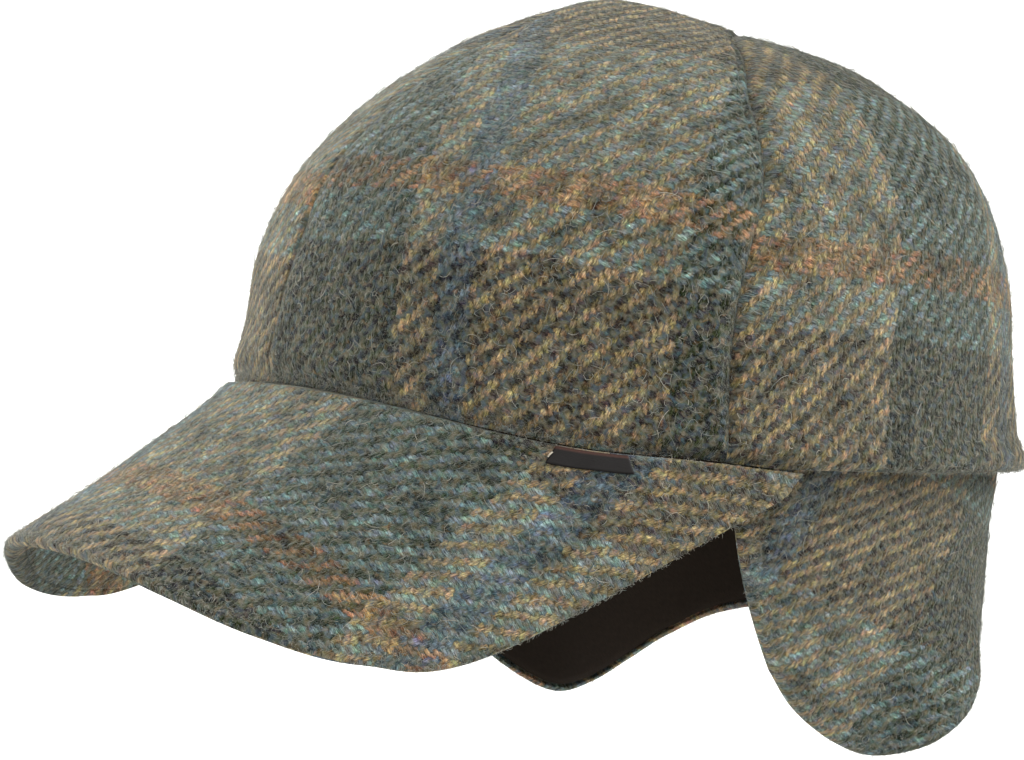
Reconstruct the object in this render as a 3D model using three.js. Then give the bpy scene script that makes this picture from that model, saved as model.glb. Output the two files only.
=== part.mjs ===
// Earflap baseball cap in woollen tweed: a crown of four panels, an arched visor with an upper and an under cover,
// one earflap band hung inside the hem with a dark lining, and a small satin tab caught in the visor seam.
// Millimetres, +Z up. The origin is the middle of the head opening, level with the hem. The visor points to -Y and
// the wearer's left is +X.
import * as THREE from "three";
import { ParametricGeometry } from "three/addons/geometries/ParametricGeometry.js";
import { mergeGeometries, mergeVertices } from "three/addons/utils/BufferGeometryUtils.js";

// Cloth
const TWEED = 2.2; // one layer
const LINING = 1.3;
const SATIN = 0.7;
const GAP = 0.3; // clearance between the visor's covers
const SEAT = 0.45; // clearance of the visor, the flap and its lining to the curved cloth that carries them

// Crown: sections from the hem to the top, each half of an ellipse in front of and behind its middle
const CROWN_ROWS = [
  { z: 0, half: 86.5, front: -104, back: 104 },
  { z: 22, half: 83, front: -97, back: 101.5 },
  { z: 44, half: 81, front: -93, back: 99 },
  { z: 64, half: 76, front: -84.5, back: 93.5 },
  { z: 81.5, half: 63.5, front: -68, back: 80 },
  { z: 94.5, half: 47, front: -50.5, back: 59.5 },
  { z: 104, half: 24.5, front: -30.5, back: 26 },
  { z: 108.5, half: 11.5, front: -18.5, back: 8 },
  { z: 110, half: 0, front: -9, back: -9 },
];
// Ear-to-ear seam from the top of the crown to the temple, on the crown drawn flat as a unit disk
const SEAM_ROWS = [
  { across: 0, behind: 0.25 },
  { across: 0.15, behind: 0.2 },
  { across: 0.29, behind: 0.06 },
  { across: 0.43, behind: -0.055 },
  { across: 0.62, behind: -0.1 },
  { across: 0.81, behind: -0.185 },
  { across: 0.976, behind: -0.216 },
];
const TEMPLE_ANGLE = Math.atan2(0.976, 0.216); // where that seam meets the hem, from the front
const SEAM_INSET = 0.0017; // half the gap between panels on the unit disk
const MIDDLE_INSET = 0.0015; // half the gap of the centre front and centre back seams, as an angle
const GROOVE = { depth: 1.2, reach: 5, hemFade: [8, 26] }; // cloth drawn in along the ear-to-ear seam
const LIP = { out: 2.2, height: 2.8, reach: 4.6, from: 1.48, to: 1.83 }; // rolled hem, angles from the front
const FOLD = { thick: 2.8, top: 12.5, step: 2 }; // cloth turned up inside the hem
const PANEL_HEM_ROWS = [0, 1.5, 3.5, 6, 8.5, 10.5, 12.5]; // distances from the hem
const PANEL_SEAM_ROWS = [7, 4, 2, 0]; // distances from the seam
const PANEL_FREE_ROWS = 9;
const PANEL_SLACK = 1.15; // length of a line over the crown against its chord
const PANEL_CROWD = 50; // a line shorter than this has its rows drawn together
const PANEL_STEPS = 16;

// Visor: from its middle to its wing, the height of its seam on the crown and the place of its outer edge
const VISOR_ROWS = [
  { rise: 13.2, x: 0, y: -154, z: -23.6 },
  { rise: 12.4, x: 24, y: -151.5, z: -25.5 },
  { rise: 9.8, x: 46, y: -144.5, z: -30.9 },
  { rise: 6, x: 65, y: -131, z: -38.3 },
  { rise: 2.5, x: 78.3, y: -111, z: -43.9 },
  { rise: 1.2, x: 85, y: -82, z: -42 },
  { rise: -0.8, x: 87, y: -9.5, z: -7 },
];
const VISOR_ANGLE = 1.536; // end of the wing, from the front
const VISOR_DIP = 0.025; // hollow between its seam and its edge, as a share of the length there
const VISOR_EDGE = { from: 0.92, round: 0.9 }; // rounding of the outer edge, in mm past a share of the reach
const COVER = 1.9; // cloth of each visor cover
const VISOR_STEPS = [32, 6];

// Earflap band: from the front edge to the nape, the angles of its top and low ends, its depth and its outward flare
const FLAP_ROWS = [
  { top: 1.39, low: 1.56, depth: 47, out: -2 },
  { top: 1.52, low: 1.65, depth: 56.5, out: -2.5 },
  { top: 1.67, low: 1.78, depth: 64, out: -1.5 },
  { top: 1.83, low: 1.89, depth: 67, out: 2 },
  { top: 1.98, low: 2, depth: 64.5, out: 8.5 },
  { top: 2.1, low: 2.1, depth: 58.5, out: 11.5 },
  { top: 2.22, low: 2.2, depth: 51.5, out: 9.5 },
  { top: 2.37, low: 2.36, depth: 44, out: 3 },
  { top: 2.64, low: 2.64, depth: 40, out: 0 },
  { top: Math.PI, low: Math.PI, depth: 39, out: 0 },
];
const FLAP_TOP = 9; // height that is tucked up inside the hem
const FLAP_LEAN = 0.07; // inward lean for each mm below the hem
const FLAP_BELLY = { out: 0.6, reach: 14 }; // slight swell just below the hem
const FLAP_SWEEP = 2.2; // how late the slant of the front edge comes in
const FLARE_POWER = 1.6; // how late the outward flare comes in
const FLAP_STEPS = [44, 9];
const FLAP_INSET = { low: 0, front: 0, top: 0 };
const LINING_INSET = { low: 2.2, front: 0.012, top: 1 }; // how far the lining stays back from the band's edges

// Satin tab on the visor, beside its seam
const TAB = { from: 0.955, to: 1.14, start: 0.4, width: 5.4, lift: 0.45, steps: [8, 2] };

const COLOURS = { tweed: 0x5d5a4b, lining: 0x1c1714, satin: 0x2a2320 };
const ROUGHNESS = { tweed: 0.95, lining: 0.9, satin: 0.45 };

const mix = THREE.MathUtils.lerp;
const sideOf = (share) => (share < 0 ? -1 : 1);
const smooth = THREE.MathUtils.smoothstep;

// Catmull-Rom value of every column of a table at a place counted in rows; before(row) and after(row) extend the table.
function blendRows(rows, place, before, after) {
  const last = rows.length - 1;
  const i = Math.min(Math.max(Math.floor(place), 0), last - 1);
  const s = place - i;
  const rowAt = (k) => (k < 0 ? before : k > last ? after : rows[k]);
  const [p, q, r, t] = [i - 1, i, i + 1, i + 2].map(rowAt);
  const column = (key) => {
    const v0 = (r[key] - p[key]) / 2;
    const v1 = (t[key] - q[key]) / 2;
    const cubic = 2 * q[key] - 2 * r[key] + v0 + v1;
    const square = -3 * q[key] + 3 * r[key] - 2 * v0 - v1;
    return ((cubic * s + square) * s + v0) * s + q[key];
  };
  return Object.fromEntries(Object.keys(q).map((key) => [key, column(key)]));
}

// The row that continues a table in a straight line, and the row that mirrors it through its end.
const straight = (a, b) => Object.fromEntries(Object.keys(a).map((key) => [key, 2 * a[key] - b[key]]));
const crownBelow = straight(CROWN_ROWS[0], CROWN_ROWS[1]);
const nearTop = CROWN_ROWS[CROWN_ROWS.length - 2];
const crownPastTop = { z: nearTop.z, half: -nearTop.half, front: nearTop.back, back: nearTop.front };
const crownRow = (rho) => blendRows(CROWN_ROWS, (1 - rho) * (CROWN_ROWS.length - 1), crownBelow, crownPastTop);

// Point of the crown's skin over a point of the unit disk, whose rim is the hem and whose front is -y.
function crownSkin(disk) {
  const rho = disk.length();
  const row = crownRow(rho);
  const turn = rho > 1e-6 ? 1 / rho : 0;
  const middle = (row.front + row.back) / 2;
  const reach = (row.back - row.front) / 2;
  return new THREE.Vector3(row.half * disk.x * turn, middle + reach * disk.y * turn, row.z);
}

// Outward normal of that skin, from two small steps on the disk.
function crownNormal(disk) {
  const step = 1e-3;
  const side = (x, y) => crownSkin(new THREE.Vector2(disk.x + x, disk.y + y));
  const dx = side(step, 0).sub(side(-step, 0));
  const dy = side(0, step).sub(side(0, -step));
  return dx.cross(dy).normalize();
}

const onDisk = (angle, rho) => new THREE.Vector2(rho * Math.sin(angle), -rho * Math.cos(angle));
const rhoAtHeight = (z) => 1 - z / (CROWN_ROWS[1].z * (CROWN_ROWS.length - 1));

// Row of the visor table at a share of its half width, 0 in the middle and 1 at the wing's end.
function visorRow(share) {
  const first = VISOR_ROWS[1];
  const before = { rise: first.rise, x: -first.x, y: first.y, z: first.z };
  const end = VISOR_ROWS.length - 1;
  return blendRows(VISOR_ROWS, share * end, before, straight(VISOR_ROWS[end], VISOR_ROWS[end - 1]));
}

// Height of the crown's hem: at the front it stands on the visor's root, and behind the wings it is level.
function hemHeight(angle) {
  const share = Math.min(Math.abs(angle) / VISOR_ANGLE, 1);
  return Math.max(visorRow(share).rise + SEAT, 0);
}

// Point of the ear-to-ear seam on the disk, from the top (0) to the temple (1 or -1).
function seamOnDisk(share) {
  const second = SEAM_ROWS[1];
  const before = { across: -second.across, behind: second.behind };
  const end = SEAM_ROWS.length - 1;
  const after = straight(SEAM_ROWS[end], SEAM_ROWS[end - 1]);
  const row = blendRows(SEAM_ROWS, Math.abs(share) * end, before, after);
  return new THREE.Vector2(sideOf(share) * row.across, row.behind);
}

// Closed solid of a sheet of cloth: point(u, v, t) is on its outer face at t = 0 and on its inner face at t = 1.
function clothSolid(point, across, along) {
  const sheet = (f, n, m) => new ParametricGeometry((a, b, target) => target.copy(f(a, b)), n, m);
  const faces = mergeGeometries([
    sheet((a, b) => point(a, b, 0), across, along),
    sheet((a, b) => point(1 - a, b, 1), across, along),
    sheet((a, b) => point(a, 0, 1 - b), across, 1),
    sheet((a, b) => point(a, 1, b), across, 1),
    sheet((a, b) => point(0, b, 1 - a), 1, along),
    sheet((a, b) => point(1, b, a), 1, along),
  ]);
  faces.deleteAttribute("normal");
  faces.deleteAttribute("uv");
  const solid = mergeVertices(faces, 1e-3);
  const corners = [...solid.index.array];
  const kept = [];
  for (let i = 0; i < corners.length; i += 3) {
    const [a, b, c] = corners.slice(i, i + 3);
    if (a !== b && b !== c && c !== a) kept.push(a, b, c);
  }
  solid.setIndex(kept);
  solid.computeVertexNormals();
  return solid;
}

function clothMesh(name, geometry, cloth) {
  const look = { color: COLOURS[cloth], roughness: ROUGHNESS[cloth], metalness: 0 };
  const mesh = new THREE.Mesh(geometry, new THREE.MeshStandardMaterial(look));
  mesh.name = name;
  return mesh;
}

// Places of a panel's rows along a line of that length: close together at the hem and at the seam.
function panelRows(length) {
  const crowded = Math.min(1, length / PANEL_CROWD);
  const hem = PANEL_HEM_ROWS.map((d) => d * crowded);
  const seam = PANEL_SEAM_ROWS.map((d) => length - d * crowded);
  const start = hem[hem.length - 1];
  const free = (seam[0] - start) / (PANEL_FREE_ROWS + 1);
  const between = Array.from({ length: PANEL_FREE_ROWS }, (_, k) => start + (k + 1) * free);
  return [...hem, ...between, ...seam];
}

// Crown panel between a stretch of hem and a stretch of the ear-to-ear seam. hemAngle(u) and seamShare(u) run together,
// and shift moves the seam's edge off the seam line by half the gap.
function crownPanel(hemAngle, seamShare, shift, across) {
  const rowsAlong = PANEL_HEM_ROWS.length + PANEL_FREE_ROWS + PANEL_SEAM_ROWS.length - 1;
  const inset = new THREE.Vector2(0, shift);
  const lines = Array.from({ length: across + 1 }, (_, k) => {
    const u = k / across;
    const angle = hemAngle(u);
    const hem = onDisk(angle, rhoAtHeight(hemHeight(angle)));
    const corner = Math.abs(seamShare(u)) === 1;
    if (corner) hem.add(inset);
    const seam = corner ? hem : seamOnDisk(seamShare(u)).add(inset);
    const length = crownSkin(hem).distanceTo(crownSkin(seam)) * PANEL_SLACK;
    return { angle, hem, seam, length, rows: panelRows(length) };
  });
  const point = (u, v, t) => {
    const line = lines[Math.round(u * across)];
    const hemGap = line.rows[Math.round(v * rowsAlong)];
    const seamGap = line.length - hemGap;
    const disk = line.hem.clone().lerp(line.seam, line.length > 0 ? hemGap / line.length : 0);
    const groove = GROOVE.depth * smooth(hemGap, ...GROOVE.hemFade) * Math.exp(-((seamGap / GROOVE.reach) ** 2));
    const rolled = smooth(Math.abs(line.angle), LIP.from, LIP.to);
    const lip = LIP.out * rolled * Math.max(0, 1 - ((hemGap - LIP.height) / LIP.reach) ** 2);
    const fold = FOLD.thick * (1 - smooth(hemGap, FOLD.top - FOLD.step, FOLD.top));
    const height = mix(lip - groove, -TWEED - fold - groove, t);
    const normal = crownNormal(disk);
    normal.setZ(normal.z * smooth(hemGap, 0, FOLD.top)).normalize(); // the hem is cut level
    return crownSkin(disk).addScaledVector(normal, height);
  };
  return clothSolid(point, across, rowsAlong);
}

// Visor skin: lines from the seam under the crown's hem to the outer edge, slightly hollowed.
// share runs from -1 to 1 across the wings and reach from 0 at the root to 1 at the edge.
function visorSkin(share, reach) {
  const row = visorRow(Math.abs(share));
  const root = crownSkin(onDisk(share * VISOR_ANGLE, rhoAtHeight(row.rise)));
  const edge = new THREE.Vector3(sideOf(share) * row.x, row.y, row.z);
  const dip = VISOR_DIP * root.distanceTo(edge) * 4 * reach * (1 - reach);
  const place = root.lerp(edge, reach);
  place.z -= dip;
  return place;
}

// Direction through the visor's thickness, from its skin inwards.
function visorThrough(share, reach) {
  const step = 1e-3;
  const a = Math.min(Math.max(share, step - 1), 1 - step);
  const b = Math.min(Math.max(reach, step), 1 - step);
  const across = visorSkin(a + step, b).sub(visorSkin(a - step, b));
  const along = visorSkin(a, b + step).sub(visorSkin(a, b - step));
  return across.cross(along).normalize();
}

// One cover of the visor between two depths under its skin; rounded says which of its faces turns in at the edge.
function visorCover(top, bottom, rounded) {
  const point = (u, v, t) => {
    const share = 1 - 2 * u;
    const turn = smooth(v, VISOR_EDGE.from, 1) * VISOR_EDGE.round;
    const depth = mix(top + rounded.top * turn, bottom - rounded.bottom * turn, t);
    return visorSkin(share, v).addScaledVector(visorThrough(share, v), depth);
  };
  return clothSolid(point, ...VISOR_STEPS);
}

// Row of the earflap table: 0 at the front edge, 1 at the nape.
function flapRow(share) {
  const end = FLAP_ROWS.length - 1;
  const back = FLAP_ROWS[end - 1];
  const past = { ...back, top: 2 * Math.PI - back.top, low: 2 * Math.PI - back.low };
  return blendRows(FLAP_ROWS, share * end, straight(FLAP_ROWS[0], FLAP_ROWS[1]), past);
}

// Point of the earflap band: share runs from -1 at the wearer's right front edge over the nape to 1 at the left one,
// drop from 0 at the top to 1 at the low edge, and sink goes inwards from the band's outer face.
function flapPoint(share, drop, sink, inset) {
  const row = flapRow((1 - Math.abs(share)) * (1 - inset.front) + inset.front);
  const top = FLAP_TOP - inset.top;
  const z = mix(top, -(row.depth - inset.low), drop);
  const slant = drop ** FLAP_SWEEP;
  const angle = sideOf(share) * mix(row.top, row.low, slant);
  const wall = crownRow(rhoAtHeight(Math.max(z, 0)));
  const middle = (wall.front + wall.back) / 2;
  const reach = (wall.back - wall.front) / 2;
  const below = Math.max(-z, 0);
  const hung = FLAP_BELLY.out * Math.exp(-below / FLAP_BELLY.reach) * (below / FLAP_BELLY.reach) - FLAP_LEAN * below;
  const flare = row.out * (below / row.depth) ** FLARE_POWER;
  const offset = hung + flare - TWEED - FOLD.thick - SEAT - sink;
  const normal = new THREE.Vector2(Math.sin(angle) / wall.half, -Math.cos(angle) / reach).normalize();
  return new THREE.Vector3(
    wall.half * Math.sin(angle) + offset * normal.x,
    middle - reach * Math.cos(angle) + offset * normal.y,
    z,
  );
}

function flapLayer(outer, inner, inset) {
  const point = (u, v, t) => flapPoint(2 * u - 1, v, mix(outer, inner, t), inset);
  return clothSolid(point, ...FLAP_STEPS);
}

// Satin tab lying on the visor along its seam.
function seamTab() {
  const point = (u, v, t) => {
    const share = mix(TAB.to, TAB.from, u) / VISOR_ANGLE;
    const length = visorSkin(share, 0).distanceTo(visorSkin(share, 1));
    const reach = (TAB.start + TAB.width * v) / length;
    const lift = -TAB.lift - SATIN * (1 - t);
    return visorSkin(share, reach).addScaledVector(visorThrough(share, reach), lift);
  };
  return clothSolid(point, ...TAB.steps);
}

// Each front panel runs from the centre front seam to its temple, and each back panel on to the centre back seam.
const frontPanel = (side) => {
  const across = (u) => (side > 0 ? u : 1 - u);
  const hemAngle = (u) => side * mix(MIDDLE_INSET, TEMPLE_ANGLE, across(u));
  const seamShare = (u) => side * mix(2 * MIDDLE_INSET, 1, across(u));
  return crownPanel(hemAngle, seamShare, -SEAM_INSET, PANEL_STEPS);
};
const backPanel = (side) => {
  const across = (u) => (side > 0 ? u : 1 - u);
  const hemAngle = (u) => side * mix(TEMPLE_ANGLE, Math.PI - MIDDLE_INSET, across(u));
  const seamShare = (u) => side * mix(1, 2 * MIDDLE_INSET, across(u));
  return crownPanel(hemAngle, seamShare, SEAM_INSET, PANEL_STEPS);
};

const crown = new THREE.Group();
crown.add(clothMesh("crown_front_left", frontPanel(1), "tweed"));
crown.add(clothMesh("crown_front_right", frontPanel(-1), "tweed"));
crown.add(clothMesh("crown_back_left", backPanel(1), "tweed"));
crown.add(clothMesh("crown_back_right", backPanel(-1), "tweed"));

const visor = new THREE.Group();
visor.add(clothMesh("visor_top", visorCover(0, COVER, { top: 1, bottom: 0 }), "tweed"));
visor.add(clothMesh("visor_under", visorCover(COVER + GAP, 2 * COVER + GAP, { top: 0, bottom: 1 }), "tweed"));
visor.add(clothMesh("label_tab", seamTab(), "satin"));

const earflaps = new THREE.Group();
const liningDepth = TWEED + SEAT;
earflaps.add(clothMesh("earflap", flapLayer(0, TWEED, FLAP_INSET), "tweed"));
earflaps.add(clothMesh("earflap_lining", flapLayer(liningDepth, liningDepth + LINING, LINING_INSET), "lining"));

const cap = new THREE.Group();
cap.add(crown, visor, earflaps);

export default cap;
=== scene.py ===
import bmesh
import bpy
import numpy as np
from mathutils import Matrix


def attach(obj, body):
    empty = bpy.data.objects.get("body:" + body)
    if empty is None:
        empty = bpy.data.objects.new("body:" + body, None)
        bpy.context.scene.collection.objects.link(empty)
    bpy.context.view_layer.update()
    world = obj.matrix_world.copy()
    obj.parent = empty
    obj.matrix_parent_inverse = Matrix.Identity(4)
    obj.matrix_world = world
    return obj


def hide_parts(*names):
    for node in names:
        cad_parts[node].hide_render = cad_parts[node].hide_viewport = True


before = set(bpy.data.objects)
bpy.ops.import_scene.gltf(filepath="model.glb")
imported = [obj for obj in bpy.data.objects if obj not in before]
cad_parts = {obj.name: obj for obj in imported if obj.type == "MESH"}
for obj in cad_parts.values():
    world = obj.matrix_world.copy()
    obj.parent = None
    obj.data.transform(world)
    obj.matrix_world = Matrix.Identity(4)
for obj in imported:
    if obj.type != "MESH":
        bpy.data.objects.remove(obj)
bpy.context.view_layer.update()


# Crown: four panels of woollen tweed, each cut on its own grain, sewn at the centre front, at the centre
# back and from ear to ear over the top. The hem is turned up inside, and behind the visor it rolls out
# into a soft stitched lip.
CROWN_ROWS = np.array([
    # height, half width, front, back
    [0, 86.5, -104, 104],
    [22, 83, -97, 101.5],
    [44, 81, -93, 99],
    [64, 76, -84.5, 93.5],
    [81.5, 63.5, -68, 80],
    [94.5, 47, -50.5, 59.5],
    [104, 24.5, -30.5, 26],
    [108.5, 11.5, -18.5, 8],
    [110, 0, -9, -9],
])
SEAM_ROWS = np.array([
    # across and behind the middle, on the crown drawn flat as a unit disk, from the top to the temple
    [0, 0.25],
    [0.15, 0.2],
    [0.29, 0.06],
    [0.43, -0.055],
    [0.62, -0.1],
    [0.81, -0.185],
    [0.976, -0.216],
])
TEMPLE_ANGLE = np.arctan2(SEAM_ROWS[-1, 0], -SEAM_ROWS[-1, 1])
HEM_SCALE = CROWN_ROWS[1, 0] * (len(CROWN_ROWS) - 1)
# Half the gap of a seam, on the unit disk and in radians round the hem.
SEAM_INSET = 0.0004
MIDDLE_INSET = 0.0002
# The cloth's thickness, and the gap between cloths that lie on each other.
TWEED = 2.2
SEAT = 0.45
# Hem: the layer turned up inside, the lip with its stitching, and the tuck above the visor.
FOLD = {"thick": 2.8, "top": 12.5, "step": 1.0}
LIP = {"out": 1.6, "height": 2.8, "reach": 6.0, "from": 1.48, "to": 1.83}
LIP_STITCH = {"height": 6.0, "reach": 0.8, "depth": 0.3}
LIP_ROUND = 2.4
TUCK = {"depth": 2.8, "reach": 6.5}
# Seams: a broad pull and a narrow crease, both shallower over the top, and a pressed line on the front.
GROOVE = {"depth": 1.1, "reach": 4.6, "hem": (8, 26), "top": (0.15, 0.45), "least": 0.35}
SEAM_CREASE = {"depth": 1.4, "reach": 1.5, "hem": (1, 9)}
TOPSTITCH = {"away": 3.7, "depth": 0.8, "reach": 0.8, "hem": (75, 110)}
MIDDLE_GROOVE = {"depth": 0.6, "reach": 3.4, "crease": 0.35}
# Slack of the panels, and the steps of their grids and of the arcs measured on them.
SWELL = {"start": 40, "hem": (2, 14), "seam": (0, 10)}
PANEL_SLACK = 1.15
PANEL_CROWD = 50
PANEL_STEPS = 72
PANEL_KNOTS = {"hem": 14, "hem_steps": 17, "crowded": 1.35, "seam": 7, "seam_steps": 10, "free_steps": 51}
ARC_STEPS = {"across": 24, "up": 240}

# How the visor meets the crown sets the hem's height at the front.
VISOR_ROWS = np.array([
    # height of the seam on the crown, then the place of the outer edge, from the middle to the wing
    [13.2, 0, -154, -23.6],
    [12.4, 24, -151.5, -25.5],
    [9.8, 46, -144.5, -30.9],
    [6, 65, -131, -38.3],
    [2.5, 78.3, -111, -43.9],
    [1.2, 85, -82, -42],
    [-0.8, 87, -9.5, -7],
])
VISOR_ANGLE = 1.536

# Woollen twill: yarns of 1.42 mm, two over and two under, in a large check of four warp and four weft
# stripes.
YARN = 1.42
WARP_CHART = [(28, "olive"), (7, "tan"), (6, "blue"), (33, "tan")]
WEFT_CHART = [(28, "navy"), (9, "teal"), (6, "rust"), (33, "teal")]
YARN_SHADES = {
    # the dark and the light fibres that are spun together
    "olive": ("#131609", "#343A1F"),
    "tan": ("#56472E", "#AA956B"),
    "blue": ("#2F3A42", "#66767F"),
    "navy": ("#171619", "#3B3A40"),
    "teal": ("#364747", "#7D9291"),
    "rust": ("#583E27", "#A68160"),
}
# Small knots of other wool, loose fibres, and the felt over the yarns.
NEPS = ["#4F7072", "#44556F", "#5A5D40", "#85593D", "#86744D", "#8A8675"]
FIBRES = ["#5A6468", "#87938F", "#A09A88", "#C8C4B6", "#857D68", "#A0A6A0", "#646252"]
FELT = ["#667078", "#6F7E78", "#74775F", "#8B8A7E", "#7B7258"]
PANELS = {
    # side, hem from and to, seam share from and to, seam shift, middle line of the grain in degrees
    "crown_front_left": (1, MIDDLE_INSET, TEMPLE_ANGLE, 2 * MIDDLE_INSET, 1, -SEAM_INSET, 57.7),
    "crown_front_right": (-1, MIDDLE_INSET, TEMPLE_ANGLE, 2 * MIDDLE_INSET, 1, -SEAM_INSET, -57.7),
    "crown_back_left": (1, TEMPLE_ANGLE, np.pi - MIDDLE_INSET, 1, 2 * MIDDLE_INSET, SEAM_INSET, 114.5),
    "crown_back_right": (-1, TEMPLE_ANGLE, np.pi - MIDDLE_INSET, 1, 2 * MIDDLE_INSET, SEAM_INSET, -114.5),
}
GRAIN = {
    # how each piece was cut and pulled: stretch, lean and bow of the warp and its start on the check,
    # then lean, bow and start of the weft
    "crown_front_left": (1, 0.085, -0.12, 86, 0.14, 0.12, -5),
    "crown_front_right": (1, -0.085, 0.12, 13, -0.14, 0.12, -1),
    "crown_back_left": (1, -0.17, 0, 25, 0.07, 0.06, 9.6),
    "crown_back_right": (1, 0.17, 0, 62, -0.07, 0.06, 8),
    "visor_top": (0.93, 0.087, 0, -27, 0, -0.08, 169.5),
    "visor_under": (0.93, -0.087, 0, 67, 0, -0.08, 170),
    "earflap": (0.87, -0.62, 0, 31, 0.35, 0, 19.4),
}


def mix(start, end, share):
    """Straight blend from start to end."""
    return start + (end - start) * share


def smooth(value, low, high):
    """Smooth step: 0 below low, 1 above high, 3s^2 - 2s^3 between."""
    share = np.clip((np.asarray(value, float) - low) / (high - low), 0, 1)
    return share * share * (3 - 2 * share)


def bell(value, reach):
    """Bell curve exp(-(value / reach)^2)."""
    return np.exp(-(np.asarray(value, float) / reach) ** 2)


def unit(vectors):
    """Vectors divided by their lengths."""
    return vectors / np.maximum(np.linalg.norm(vectors, axis=-1, keepdims=True), 1e-9)


def walked(points, axis=0):
    """Length of the way along one axis of a grid, from its start to each point."""
    step = np.linalg.norm(np.diff(points, axis=axis), axis=-1)
    return np.concatenate([np.zeros_like(step.take([0], axis)), np.cumsum(step, axis)], axis)


def blend_rows(rows, place, before, after):
    """Catmull-Rom curve through the rows of a table, at places counted in rows. Before and after are the
    rows past its ends."""
    table = np.vstack([before, rows, after]).astype(float)
    place = np.asarray(place, float)
    first = np.clip(np.floor(place).astype(int), 0, len(rows) - 2)
    s = (place - first)[..., None]
    p, q, r, t = (table[first + k] for k in range(4))
    v0 = (r - p) / 2
    v1 = (t - q) / 2
    return (((2 * q - 2 * r + v0 + v1) * s + (-3 * q + 3 * r - 2 * v0 - v1)) * s + v0) * s + q


def crown_row(rho):
    """Section of the crown at a distance rho from the top of the unit disk: height, half width, front and
    back."""
    below = 2 * CROWN_ROWS[0] - CROWN_ROWS[1]
    past = CROWN_ROWS[-2][[0, 1, 3, 2]] * [1, -1, 1, 1]
    return blend_rows(CROWN_ROWS, (1 - rho) * (len(CROWN_ROWS) - 1), below, past)


def on_disk(angle, rho):
    """Point of the unit disk at an angle from the front and a distance from the top."""
    return np.stack([rho * np.sin(angle), -rho * np.cos(angle)], -1)


def crown_skin(disk):
    """Crown point over a disk point: on the ellipse through the half width, the front and the back of the
    section at that height."""
    rho = np.linalg.norm(disk, axis=-1)
    row = crown_row(rho)
    way = disk / np.maximum(rho, 1e-9)[..., None]
    middle = (row[..., 2] + row[..., 3]) / 2
    reach = (row[..., 3] - row[..., 2]) / 2
    return np.stack([row[..., 1] * way[..., 0], middle + reach * way[..., 1], row[..., 0]], -1)


def crown_normal(disk):
    """Outward normal of the crown, the cross product of two small steps on the disk."""
    step = 1e-3
    dx = crown_skin(disk + [step, 0]) - crown_skin(disk - [step, 0])
    dy = crown_skin(disk + [0, step]) - crown_skin(disk - [0, step])
    return unit(np.cross(dx, dy))


def visor_row(share):
    """Row of the visor table at a share of its half width."""
    end = len(VISOR_ROWS) - 1
    before = VISOR_ROWS[1] * [1, -1, 1, 1]
    after = 2 * VISOR_ROWS[end] - VISOR_ROWS[end - 1]
    return blend_rows(VISOR_ROWS, np.abs(share) * end, before, after)


def hem_height(angle):
    """Height of the hem: it stands on the visor's root in front and is level behind the wings."""
    share = np.minimum(np.abs(angle) / VISOR_ANGLE, 1)
    return np.maximum(visor_row(share)[..., 0] + SEAT, 0)


def seam_on_disk(share):
    """Point of the ear-to-ear seam, from the top (0) to a temple (1 or -1)."""
    end = len(SEAM_ROWS) - 1
    before = SEAM_ROWS[1] * [-1, 1]
    after = 2 * SEAM_ROWS[end] - SEAM_ROWS[end - 1]
    row = blend_rows(SEAM_ROWS, np.abs(share) * end, before, after)
    return np.stack([np.where(share < 0, -1, 1) * row[..., 0], row[..., 1]], -1)


def panel_knots():
    """Places along a panel line: millimetres from the hem in steps that widen, even shares of the way
    between, and millimetres before the seam in even steps."""
    hem = PANEL_KNOTS["hem"] * np.linspace(0, 1, PANEL_KNOTS["hem_steps"] + 1) ** PANEL_KNOTS["crowded"]
    seam = np.linspace(PANEL_KNOTS["seam"], 0, PANEL_KNOTS["seam_steps"] + 1)
    free = np.linspace(0, 1, PANEL_KNOTS["free_steps"] + 1)[1:-1]
    return hem, free, seam


def cloth_swell(across, up):
    """Slack of soft cloth: a sum of slow waves over its own surface."""
    waves = [
        # length, heading in degrees, start, height
        (64, 20, 0.3, 0.30),
        (41, 115, 1.9, 0.24),
        (29, 70, 4.1, 0.14),
        (18, 160, 2.6, 0.07),
    ]
    height = 0
    for length, heading, start, size in waves:
        turn = np.radians(heading)
        along = across * np.cos(turn) + up * np.sin(turn)
        height = height + size * np.sin(2 * np.pi * along / length + start)
    return height


def laid(across, up, piece):
    """Place on the check, in yarns, of lengths across and up a piece: each is leaned and bowed by the
    other."""
    stretch, warp_lean, warp_bow, warp_start, weft_lean, weft_bow, weft_start = GRAIN[piece]
    warp = stretch * across + warp_lean * up + warp_bow * up ** 2 / 100 + warp_start
    weft = up + weft_lean * across + weft_bow * across ** 2 / 100 + weft_start
    return np.stack([warp, weft], -1) / YARN


def crown_grain(disk, middle):
    """Arc across from the panel's middle line at that height, and arc up that line from the hem."""
    rho = np.linalg.norm(disk, axis=-1)
    angle = np.arctan2(disk[..., 0], -disk[..., 1])
    middle = np.radians(middle)
    apart = (angle - middle + np.pi) % (2 * np.pi) - np.pi
    walk = middle + apart[..., None] * np.linspace(0, 1, ARC_STEPS["across"])
    line = crown_skin(on_disk(walk, np.repeat(rho[..., None], ARC_STEPS["across"], -1)))
    across = np.linalg.norm(np.diff(line, axis=-2), axis=-1).sum(-1) * np.sign(apart)
    fall = np.linspace(1, 0, ARC_STEPS["up"])
    line = crown_skin(on_disk(np.full_like(fall, middle), fall))
    return across, np.interp(1 - rho, 1 - fall, walked(line))


def rounding(from_edge, thick):
    """How far a face turns in at a border to make a half round rim of that thickness."""
    radius = thick / 2
    away = np.clip(radius - from_edge, 0, radius)
    return radius - np.sqrt(radius ** 2 - away ** 2)


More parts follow.
